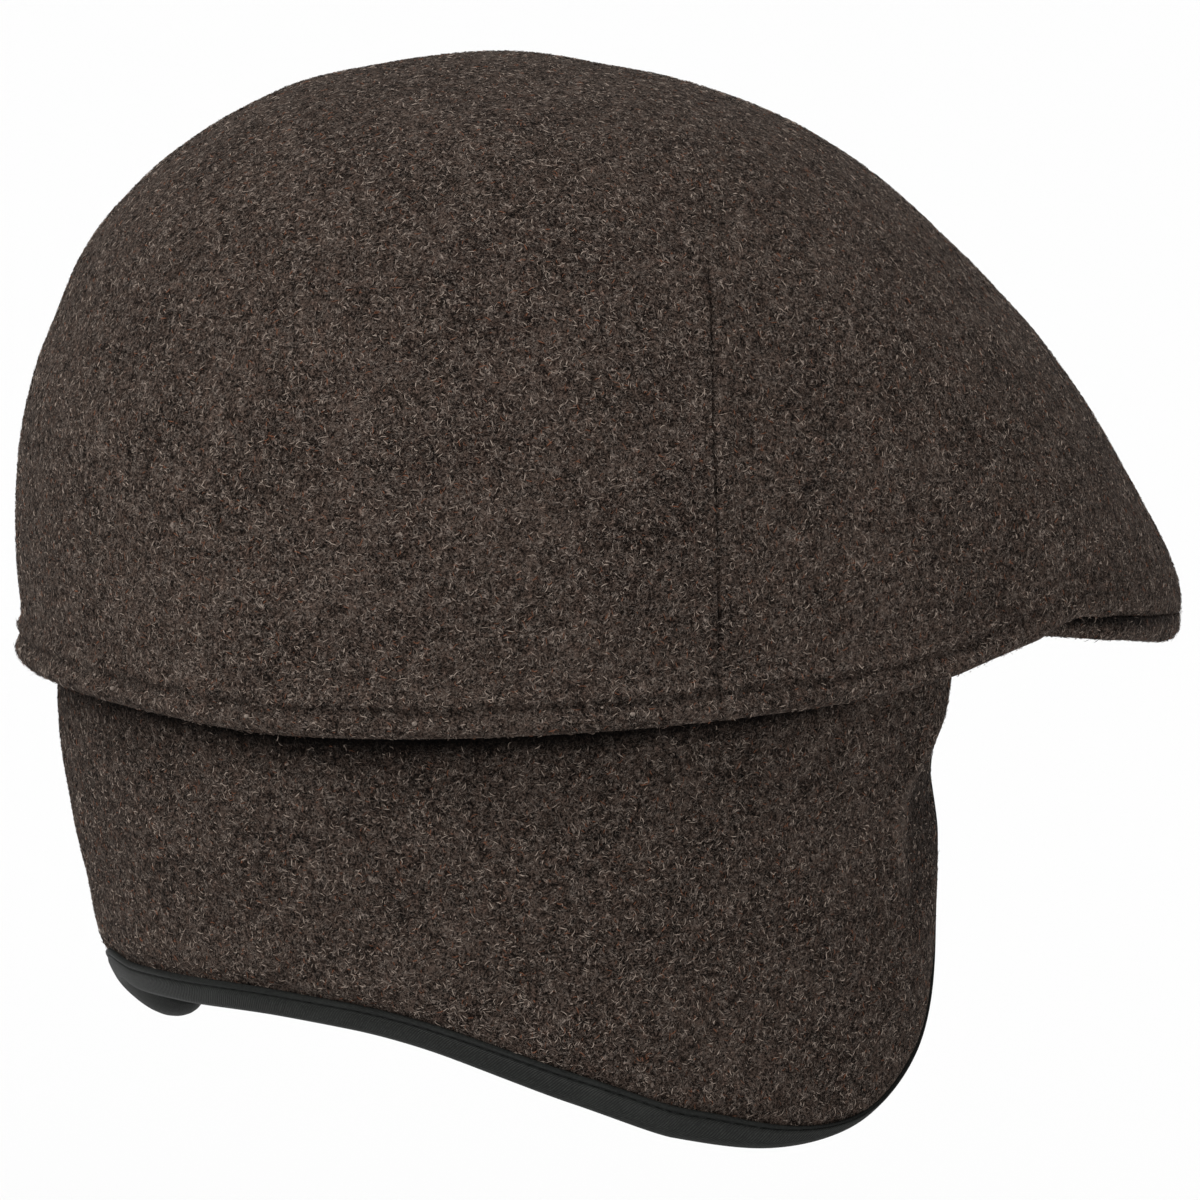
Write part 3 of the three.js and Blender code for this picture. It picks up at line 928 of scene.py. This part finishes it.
FELT_DARK = linear(12, 9, 7)
FELT_MIDDLE = linear(48, 39, 34)
FELT_LIGHT = linear(92, 79, 71)
FELT_PALE = linear(156, 142, 132)
FELT_RUST = linear(114, 74, 54)
SHEEN_TINT = (1.0, 0.84, 0.74, 1.0)
BLACK = (0.0, 0.0, 0.0, 1.0)
TWILL_DARK = linear(5, 6, 5)
TWILL_PALE = linear(45, 48, 44)
TWILL_WORN = linear(44, 47, 44)
THREADS = {
    "thread_black": (linear(6, 7, 7), linear(24, 26, 25)),
    "thread_brown": (linear(42, 32, 27), linear(80, 58, 48)),
    "thread_pale": (linear(96, 86, 79), linear(142, 129, 118)),
}
FIBRES = {
    "fibre_pale": linear(148, 134, 123),
    "fibre_grey": linear(84, 72, 65),
    "fibre_rust": linear(110, 72, 54),
    "fibre_dark": linear(11, 9, 8),
}


def curls(nodes, at, spacing, width, aside):
    """Curly lines, as fine fibres make: 1 on a line and 0 between them, broken in places."""
    place = nodes.moved(at, (aside, aside * 0.7, -aside))
    level = nodes.noise(place, 1 / spacing, detail=1.5, roughness=0.6, warp=0.6)
    off = nodes.maths("ABSOLUTE", nodes.maths("SUBTRACT", level, 0.5))
    whole = nodes.range(off, width, 0.0)
    broken = nodes.range(nodes.noise(place, 0.6 / spacing, detail=1.0), 0.4, 0.58)
    return nodes.maths("MULTIPLY", whole, broken)


def all_curls(nodes, at, kinds):
    """Curly lines of several kinds over each other."""
    whole = curls(nodes, at, *kinds[0])
    for kind in kinds[1:]:
        whole = nodes.maths("MAXIMUM", whole, curls(nodes, at, *kind))
    return whole


def felt(name, aside):
    """Flecked wool felt: dark brown wool with paler, darker and rusty fibres in it, and painted
    shade and highlight from the shade attribute.
    """
    nodes = Nodes(name)
    at = nodes.add("TexCoord").outputs["Object"]
    at = nodes.moved(at, (aside, aside, aside))
    patches = nodes.noise(at, 1 / PATCH, detail=3.0)
    clumps = nodes.noise(at, 1 / CLUMP, detail=2.0, roughness=0.6)
    fleck_at = nodes.moved(at, (0.5, 0.2, 0.1))
    flecks = nodes.noise(fleck_at, 1 / FLECK, detail=3.0, roughness=0.8, warp=0.3)
    tone = nodes.maths("ADD", nodes.range(clumps, 0.3, 0.7, -0.045, 0.045), flecks)
    tone = nodes.maths("ADD", tone, nodes.range(patches, 0.3, 0.7, -0.028, 0.028))
    colour = nodes.blend(nodes.range(tone, 0.4, 0.52), FELT_DARK, FELT_MIDDLE)
    colour = nodes.blend(nodes.range(tone, 0.51, 0.64), colour, FELT_LIGHT)
    pale = all_curls(nodes, at, PALE_CURLS)
    dark = all_curls(nodes, at, DARK_CURLS)
    rusty = nodes.noise(nodes.moved(at, (0.9, 0.4, 0.8)), 1 / RUSTY, detail=2.0)
    rusty = nodes.range(rusty, 0.52, 0.66)
    fibre = nodes.blend(nodes.maths("MULTIPLY", rusty, 0.5), FELT_PALE, FELT_RUST)
    colour = nodes.blend(nodes.maths("MULTIPLY", dark, 0.6), colour, FELT_DARK)
    colour = nodes.blend(nodes.maths("MULTIPLY", pale, 0.8), colour, fibre)
    # Painted shade and highlight: where the shade attribute is above 0 the felt darkens towards
    # black, where below 0 it lightens towards pale
    shade = nodes.add("Attribute", attribute_name="shade").outputs["Fac"]
    colour = nodes.blend(nodes.maths("MULTIPLY", shade, -1.0, clamp=True), colour, FELT_PALE)
    colour = nodes.blend(nodes.maths("MULTIPLY", shade, 1.0, clamp=True), colour, BLACK)
    height = nodes.maths("MULTIPLY", flecks, 0.9)
    height = nodes.maths("ADD", height, nodes.maths("MULTIPLY", pale, 0.6))
    height = nodes.maths("ADD", height, nodes.maths("MULTIPLY", clumps, 0.7))
    height = nodes.maths("SUBTRACT", height, nodes.maths("MULTIPLY", dark, 0.4))
    return nodes.finish(
        colour, height, FELT_BUMP, 1.0,
        Roughness=1.0, Specular_IOR_Level=0.05,
        Sheen_Weight=0.03, Sheen_Roughness=0.22, Sheen_Tint=SHEEN_TINT)


def plain(name, colour, specular):
    """An even, dull finish."""
    nodes = Nodes(name)
    surface = nodes.add("BsdfPrincipled", {
        "Base Color": colour, "Roughness": 0.9, "Specular IOR Level": specular})
    nodes.add("OutputMaterial", {"Surface": surface.outputs[0]})
    return nodes.material


def twill():
    """Black twill tape: fine slanting ridges, a little worn on their crests."""
    nodes = Nodes("twill_black")
    uv = nodes.add("TexCoord").outputs["UV"]
    sized = nodes.add("Mapping", {"Vector": uv, "Scale": TWILL_SCALE})
    parts = nodes.add("SeparateXYZ", {0: sized.outputs[0]})
    slant = nodes.maths("MULTIPLY", parts.outputs[1], TWILL_SLANT)
    slant = nodes.maths("ADD", parts.outputs[0], slant)
    ridge = nodes.maths("SINE", nodes.maths("MULTIPLY", slant, 2 * math.pi * TWILL_FINE))
    ridge = nodes.range(ridge, -1.0, 1.0)
    at = nodes.add("TexCoord").outputs["Object"]
    grain = nodes.noise(at, 1 / 0.0006, detail=3.0, roughness=0.6)
    worn = nodes.noise(at, 1 / 0.009, detail=3.0)
    tone = nodes.maths("MULTIPLY", ridge, nodes.range(grain, 0.3, 0.7))
    colour = nodes.blend(tone, TWILL_DARK, TWILL_PALE)
    colour = nodes.blend(nodes.range(worn, 0.5, 0.75, 0.0, 0.25), colour, TWILL_WORN)
    height = nodes.maths("ADD", ridge, nodes.maths("MULTIPLY", grain, 0.6))
    return nodes.finish(
        colour, height, TWILL_BUMP, 1.0, Roughness=0.62, Specular_IOR_Level=0.25)


def thread(name):
    """A twisted sewing thread."""
    dark, pale = THREADS[name]
    nodes = Nodes(name)
    at = nodes.add("TexCoord").outputs["Object"]
    twist = nodes.noise(at, 1 / 0.0003, detail=2.0, roughness=0.6)
    colour = nodes.blend(nodes.range(twist, 0.35, 0.65), dark, pale)
    return nodes.finish(
        colour, twist, THREAD_BUMP, 0.7, Roughness=0.7, Specular_IOR_Level=0.3)


# Nap


def lay_nap(name, slot, points, weight, count, seed, fibres, dark):
    """Short curved fibres laid on a grid's cells, more of them dark where the grid has painted
    shade.
    """
    draw = np.random.default_rng(seed)
    corner = points[:-1, :-1]
    across = points[:-1, 1:] - corner
    down = points[1:, :-1] - corner
    normal = np.cross(down, across)
    area = np.linalg.norm(normal, axis=-1)
    normal /= np.maximum(area, 1e-9)[..., None]
    chance = (area * weight[:-1, :-1]).ravel()
    cell = draw.choice(len(chance), size=count, p=chance / chance.sum())
    start = corner.reshape(-1, 3)[cell]
    start = start + across.reshape(-1, 3)[cell] * draw.random((count, 1))
    start = start + down.reshape(-1, 3)[cell] * draw.random((count, 1))
    up = normal.reshape(-1, 3)[cell]
    side = across.reshape(-1, 3)[cell]
    side = side - up * (side * up).sum(1, keepdims=True)
    side = unit(side)
    other = np.cross(up, side)
    spread = np.exp(draw.normal(0, NAP_LENGTH_SPREAD, count))
    long = NAP_LENGTH * np.minimum(spread, NAP_LONGEST)
    wide = NAP_WIDTH * np.exp(draw.normal(0, NAP_WIDTH_SPREAD, count))
    heading = draw.random(count) * 2 * np.pi
    bend = draw.normal(0, NAP_BEND, count)
    roll = draw.normal(0, NAP_ROLL, count)
    rise = NAP_LIFT * np.abs(draw.normal(0, 1, (count, 2)))
    heights = (
        np.full(count, NAP_ROOT),
        NAP_STAND + rise[:, 0],
        NAP_STAND + rise[:, 1],
        NAP_ROOT + draw.random(count) * NAP_LIFT,
    )
    place, stations = start, []
    for station, height in enumerate(heights):
        angle = (heading + bend * station / 2)[:, None]
        ahead = side * np.cos(angle) + other * np.sin(angle)
        beside = np.cross(up, ahead) * np.cos(roll)[:, None] + up * np.sin(roll)[:, None]
        stations.append((place + up * height[:, None], beside * wide[:, None] / 2))
        place = place + ahead * long[:, None] / 3
    (tip, _), (first, first_side), (second, second_side), (end, _) = stations
    vertices = np.stack([
        tip,
        first - first_side,
        first + first_side,
        second - second_side,
        second + second_side,
        end,
    ], 1)
    base = (np.arange(count) * 6)[:, None]
    faces = [base + [0, 1, 2], base + [1, 3, 4, 2], base + [3, 5, 4]]
    kind = draw.choice(len(fibres), size=count, p=NAP_SHARES)
    # Painted shade in the nap: fibres under the grid's painted shade are turned dark
    in_painted_shade = draw.random(count) < dark[:-1, :-1].ravel()[cell]
    kind[in_painted_shade] = len(fibres) - 1
    nap = mesh_from(name, vertices.reshape(-1, 3), faces, fibres, np.tile(kind, 3))
    return settle(nap, slot)


# Threads


def stitch_pattern(long, thick):
    """One stitch: a short thread that dips into the felt at both ends."""
    bpy.ops.mesh.primitive_uv_sphere_add(segments=8, ring_count=6, radius=0.5)
    bead = bpy.context.object
    flat = np.empty(len(bead.data.vertices) * 3)
    bead.data.vertices.foreach_get("co", flat)
    shape = flat.reshape(-1, 3)[:, [2, 0, 1]] * [long, thick, thick]
    shape[:, 2] -= 0.6 * thick * (2 * shape[:, 0] / long) ** 2
    quads = np.array([list(f.vertices) for f in bead.data.polygons if len(f.vertices) == 4])
    ends = np.array([list(f.vertices) for f in bead.data.polygons if len(f.vertices) == 3])
    bpy.data.objects.remove(bead)
    return shape, [quads, ends]


def lay_stitches(name, slot, material, places, ahead, up, long, thick):
    """The same stitch at many places."""
    shape, faces = stitch_pattern(long, thick)
    ahead = unit(ahead)
    up = up - ahead * (up * ahead).sum(1, keepdims=True)
    up = unit(up)
    beside = np.cross(up, ahead)
    frames = np.stack([ahead, beside, up], 1)
    vertices = np.einsum("vk,nkc->nvc", shape, frames) + places[:, None]
    starts = (np.arange(len(places)) * len(shape))[:, None, None]
    joined = [(f[None] + starts).reshape(-1, f.shape[1]) for f in faces]
    slots = np.zeros(sum(len(f) for f in joined), int)
    stitches = mesh_from(name, vertices.reshape(-1, 3), joined, [material], slots)
    return settle(stitches, slot)


def make_crown(nap_fibres):
    turns, rows, dome_end, roll_end, points = crown_form()
    outward = points - np.array([CROSS_LINE, 0, 0])
    normal = lay_of(points)
    normal = normal * np.sign((normal * outward).sum())
    relief, shade = crown_relief(turns, rows, dome_end, roll_end, points)
    points = points + normal * relief[..., None]
    points[:, -1] = points[:, 0]
    piece = sheet_from("crown_felt", points, shade=shade)
    close_top(piece)
    face_outwards(piece)
    thicken(piece, FELT_WALL)
    smooth(piece)
    piece.data.materials.append(felt("felt_crown", 0.0))
    settle(piece, "crown_felt", "crown")
    shows = (rows < roll_end + 1.5).astype(float)[:, None] * np.ones(len(turns))
    grid, shade = facing_out(points, shade, outward)
    half = len(turns) // 2
    for side, part, seed in (("right", slice(half + 1), 11), ("left", slice(half, None), 12)):
        lay_nap(
            "crown_nap_" + side, "crown_felt", grid[:, part], shows[:, part], CROWN_NAP, seed,
            nap_fibres, shade[:, part])
    return turns, rows, dome_end, points, normal


def make_peak(nap_fibres):
    points, shade = peak_form()
    closed = np.concatenate([points, points[:1]])
    piece = sheet_from("peak_felt", closed, closed=True, shade=np.concatenate([shade, shade[:1]]))
    smooth(piece)
    piece.data.materials.append(felt("felt_peak", 0.37))
    settle(piece, "peak_felt", "peak")
    middle = points.mean((0, 1))
    grid, shade = facing_out(points, shade, points - middle)
    shows = np.ones(points.shape[:2])
    lay_nap("peak_nap", "peak_felt", grid, shows, PEAK_NAP, 13, nap_fibres, shade)


def make_earflap(nap_fibres):
    points, outward, shade = flap_form()
    piece = sheet_from("earflap_felt", points, shade=shade)
    face_outwards(piece)
    thicken(piece, FELT_WALL)
    smooth(piece)
    piece.data.materials.append(felt("felt_earflap", 0.71))
    settle(piece, "earflap_felt", "earflap")
    grid, shade = facing_out(points, shade, outward)
    shows = np.ones(points.shape[:2])
    shows[:6] = 0
    shows[-3:] = 0
    lay_nap("earflap_nap", "earflap_felt", grid, shows, FLAP_NAP, 14, nap_fibres, shade)


def make_binding():
    points = binding_form()
    piece = sheet_from("binding_tape", points, closed=True)
    smooth(piece)
    piece.data.materials.append(twill())
    return settle(piece, "binding_twill", "binding")


def make_binding_stitches():
    """The seam that holds the tape, in its groove on the outer face."""
    length = 2 * (EDGE_TURNS[-1] * DEGREE + 60)
    count = int(length / TAPE_STITCH_PITCH)
    shares = np.linspace(-0.985, 0.985, count)
    top = BINDING_WIDTH - TAPE_CLEARANCE - TAPE_WALL
    out = np.full(count, TAPE_CLEARANCE + TAPE_WALL - TAPE_STITCH_SINK)
    height = narrowed(shares, out, top - TAPE_SEAM)
    places = tape_place(shares, out, height)
    step = 0.001
    ahead = tape_place(shares + step, out, height) - tape_place(shares - step, out, height)
    turn, depth, *_ = along_edge(shares)
    up, _ = flap_lay(turn, depth)
    lay_stitches(
        "binding_stitches", "binding_twill", thread("thread_black"), places, ahead, up,
        TAPE_STITCH_LENGTH, TAPE_STITCH_THICKNESS)


def make_topstitches(turns, rows, dome_end, points, normal):
    """Two rows of brown thread beside each dart seam, almost lost in the felt."""
    places, ahead, up = [], [], []
    run = row_runs(points)
    for side in (-1, 1):
        for offset in (-ROW_OFFSET, ROW_OFFSET):
            line, lay = [], []
            for row in range(len(rows)):
                seam = np.interp(side * SEAM_TURN, turns, run[row])
                column = np.interp(seam + offset, run[row], np.arange(len(turns)))
                low = min(int(column), len(turns) - 2)
                line.append(mix(points[row, low], points[row, low + 1], column - low))
                lay.append(normal[row, low])
            line, lay = np.array(line), np.array(lay)
            steps = np.linalg.norm(np.diff(line, axis=0), axis=1)
            length = run_of(steps)
            start = np.interp(STITCH_START * dome_end, rows, length)
            end = np.interp(dome_end - STITCH_END_GAP, rows, length)
            stops = np.arange(start, end, STITCH_PITCH)
            at = np.stack([np.interp(stops, length, line[:, k]) for k in range(3)], 1)
            on = np.stack([np.interp(stops + 0.3, length, line[:, k]) for k in range(3)], 1)
            out = np.stack([np.interp(stops, length, lay[:, k]) for k in range(3)], 1)
            places.append(at - STITCH_SINK * out)
            ahead.append(on - at)
            up.append(out)
    lay_stitches(
        "dart_topstitches", "crown_felt", thread("thread_brown"),
        np.concatenate(places), np.concatenate(ahead), np.concatenate(up),
        TOPSTITCH_LENGTH, TOPSTITCH_THICKNESS)


def make_knots():
    """The pale tacking knots along the hem, each with its small thread end."""
    pale = thread("thread_pale")
    made = []
    for turn in BOTH_KNOT_TURNS:
        back = math.copysign(abs(turn) + THREAD_END_TURN, turn)
        knot_and_end = (
            (turn, KNOT_RISE, KNOT_SIZE),
            (back, THREAD_END_RISE, THREAD_END_SHARE * KNOT_SIZE),
        )
        for place_turn, rise, size in knot_and_end:
            place = hem_place(place_turn, rise)
            outward = place - np.array([CROSS_LINE, 0, place[2]])
            outward = unit(outward)
            bpy.ops.mesh.primitive_uv_sphere_add(
                segments=14, ring_count=9, radius=size * METRE,
                location=Vector((place - outward * KNOT_SINK) * METRE))
            knot = bpy.context.object
            set_mode("EDIT")
            bpy.ops.transform.resize(value=(1.1, 1.1, 0.82))
            bpy.ops.transform.vertex_random(offset=0.00006, seed=7)
            set_mode("OBJECT")
            made.append(knot)
    bpy.ops.object.select_all(action="DESELECT")
    for knot in made:
        knot.select_set(True)
    bpy.context.view_layer.objects.active = made[0]
    bpy.ops.object.join()
    bpy.ops.object.transform_apply()
    piece = bpy.context.object
    piece.name = piece.data.name = "hem_knots"
    piece.data.materials.append(pale)
    bpy.ops.object.shade_smooth()
    return settle(piece, "crown_felt")


# The stage


def towards(azimuth, elevation):
    """The direction from the cap to something at this azimuth and elevation."""
    a, e = math.radians(azimuth), math.radians(elevation)
    return Vector((math.sin(a) * math.cos(e), -math.cos(a) * math.cos(e), math.sin(e)))


def place_camera():
    back = towards(CAMERA_AZIMUTH, CAMERA_ELEVATION)
    right = Vector((0, 0, 1)).cross(back).normalized()
    up = back.cross(right)
    aim = right * AIM_RIGHT + up * AIM_UP
    data = bpy.data.cameras.new("camera")
    data.sensor_width = SENSOR_WIDTH
    data.lens = data.sensor_width * CAMERA_DISTANCE / FRAME_WIDTH
    camera = bpy.data.objects.new("camera", data)
    bpy.context.scene.collection.objects.link(camera)
    camera.location = back * CAMERA_DISTANCE
    camera.rotation_euler = (aim - camera.location).to_track_quat("-Z", "Y").to_euler()
    bpy.context.scene.camera = camera


def add_light(name, azimuth, elevation, spread, strength):
    """A wide soft light, the same everywhere, from far off."""
    data = bpy.data.lights.new(name, "SUN")
    data.angle = math.radians(spread)
    data.energy = strength
    light = bpy.data.objects.new(name, data)
    bpy.context.scene.collection.objects.link(light)
    light.rotation_euler = towards(azimuth, elevation).to_track_quat("Z", "Y").to_euler()


def set_stage():
    """A white floor, a white sky and the lights."""
    bpy.ops.mesh.primitive_plane_add(size=FLOOR_SIZE, location=(0, 0, FLOOR_HEIGHT))
    floor = bpy.context.object
    floor.name = "floor"
    floor.data.materials.append(plain("floor_white", (0.82, 0.82, 0.82, 1.0), 0.1))
    world = bpy.data.worlds.new("studio")
    world.use_nodes = True
    sky = world.node_tree.nodes["Background"]
    sky.inputs[0].default_value = (1.0, 1.0, 1.0, 1.0)
    sky.inputs[1].default_value = SKY_STRENGTH
    bpy.context.scene.world = world
    for name, light in LIGHTS.items():
        add_light(name, *light)
    bpy.context.scene.view_settings.view_transform = "Standard"
    bpy.context.scene.view_settings.look = "None"


def main():
    place_camera()
    nap_fibres = [plain(name, colour, 0.08) for name, colour in FIBRES.items()]
    crown = make_crown(nap_fibres)
    make_peak(nap_fibres)
    make_earflap(nap_fibres)
    make_binding()
    make_binding_stitches()
    make_topstitches(*crown)
    make_knots()
    set_stage()


main()
bpy.context.view_layer.update()
